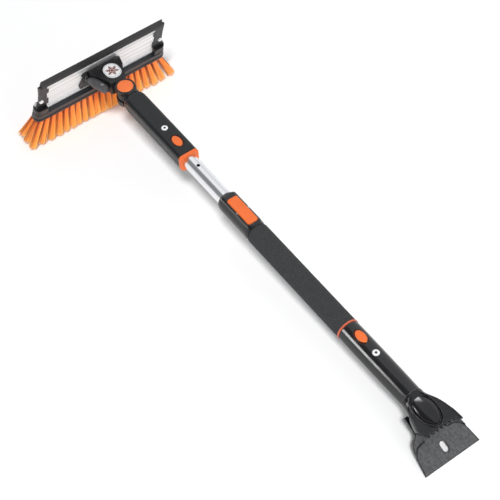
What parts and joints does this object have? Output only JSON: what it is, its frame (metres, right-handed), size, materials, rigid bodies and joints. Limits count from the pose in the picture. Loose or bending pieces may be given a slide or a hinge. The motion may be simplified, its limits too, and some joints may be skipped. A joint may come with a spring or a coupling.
{
  "type": "snow brush scraper",
  "caption": "Telescopic snow tool: a pivoting brush head with a squeegee panel at one end of a foam-gripped pole and a detachable ice scraper at the other.",
  "frame": {"origin": "where the vertical pivot axis of the brush head crosses the axis of the pole", "axes": "+X along the pole from the brush head to the scraper; +Z out of the push-button side, away from the bristles; +Y across"},
  "size_m": [1.0576, 0.3326, 0.1868],
  "materials": {
    "black_plastic": "satin moulded",
    "handle_black": "semi gloss moulded",
    "inner_plastic": "matte",
    "orange_plastic": "satin",
    "bristle": "fine filaments",
    "panel_aluminium": "satin anodised",
    "tube_aluminium": "brushed anodised",
    "lip_rubber": "matte",
    "foam": "fine closed-cell foam",
    "steel": "plated",
    "blade_plastic": "textured",
    "badge": "printed film"
  },
  "bodies": {
    "pole": {"outer_tube": "tube_aluminium", "guide_bush": "inner_plastic", "lock_housing": "black_plastic", "lever_pin": "steel", "foam_grip": "foam", "grip_ring": "orange_plastic", "lower_snap_pin": "steel", "lower_snap_spring": "steel"},
    "slide_tube": {"inner_tube": "tube_aluminium", "tube_end_plug": "inner_plastic", "upper_snap_pin": "steel", "upper_snap_spring": "steel"},
    "upper_handle": {"upper_shell_top": "handle_black", "upper_shell_bottom": "handle_black", "upper_screw": "steel", "upper_sleeve": "inner_plastic", "collar_ring": "orange_plastic", "pivot_yoke": "black_plastic", "pivot_pin": "steel"},
    "head": {"head_hub": "black_plastic", "hub_badge": "badge", "hub_screws": "steel", "squeegee_panel": "panel_aluminium", "squeegee_lip": "lip_rubber", "left_end_bracket": "black_plastic", "right_end_bracket": "black_plastic", "bracket_screws": "steel", "brush_base": "black_plastic", "bristles": "bristle"},
    "pivot_button": {"pivot_button": "orange_plastic", "pivot_lock_gear": "steel", "pivot_spring": "steel"},
    "upper_button": {"upper_button": "orange_plastic", "upper_button_spring": "steel"},
    "lock_lever": {"lock_lever": "orange_plastic", "lever_spring": "steel"},
    "scraper": {"lower_shell_top": "handle_black", "lower_shell_bottom": "handle_black", "lower_screw": "steel", "lower_insert": "inner_plastic", "scraper_head": "handle_black", "scraper_blade": "blade_plastic", "blade_rivets": "steel"},
    "lower_button": {"lower_button": "orange_plastic", "lower_button_spring": "steel"}
  },
  "joints": [
    {"name": "telescope", "type": "slide", "parent": "pole", "child": "slide_tube", "axis": [-1, 0, 0], "range_m": [-0.104, 0.208]},
    {"name": "head_release", "type": "slide", "parent": "slide_tube", "child": "upper_handle", "axis": [-1, 0, 0], "range_m": [0, 0.105]},
    {"name": "head_pivot", "type": "hinge", "parent": "upper_handle", "child": "head", "pos_m": [0, 0, 0], "axis": [0, 0, 1], "range_deg": [-90, 90]},
    {"name": "pivot_button_press", "type": "slide", "parent": "upper_handle", "child": "pivot_button", "axis": [0, 0, -1], "range_m": [0, 0.003], "stiffness_N_per_m": 800, "springref_m": -0.003, "deforming": ["pivot_spring"]},
    {"name": "upper_button_press", "type": "slide", "parent": "upper_handle", "child": "upper_button", "axis": [0, 0, -1], "range_m": [0, 0.002], "stiffness_N_per_m": 600, "springref_m": -0.003, "deforming": ["upper_button_spring"]},
    {"name": "lock_lever_press", "type": "hinge", "parent": "pole", "child": "lock_lever", "pos_m": [0.366, 0, 0.0192], "axis": [0, 1, 0], "range_deg": [0, 4], "stiffness_Nm_per_rad": 0.5, "springref_deg": -5.73, "deforming": ["lever_spring"]},
    {"name": "scraper_release", "type": "slide", "parent": "pole", "child": "scraper", "axis": [1, 0, 0], "range_m": [0, 0.065]},
    {"name": "lower_button_press", "type": "slide", "parent": "scraper", "child": "lower_button", "axis": [0, 0, -1], "range_m": [0, 0.002], "stiffness_N_per_m": 600, "springref_m": -0.003, "deforming": ["lower_button_spring"]}
  ]
}
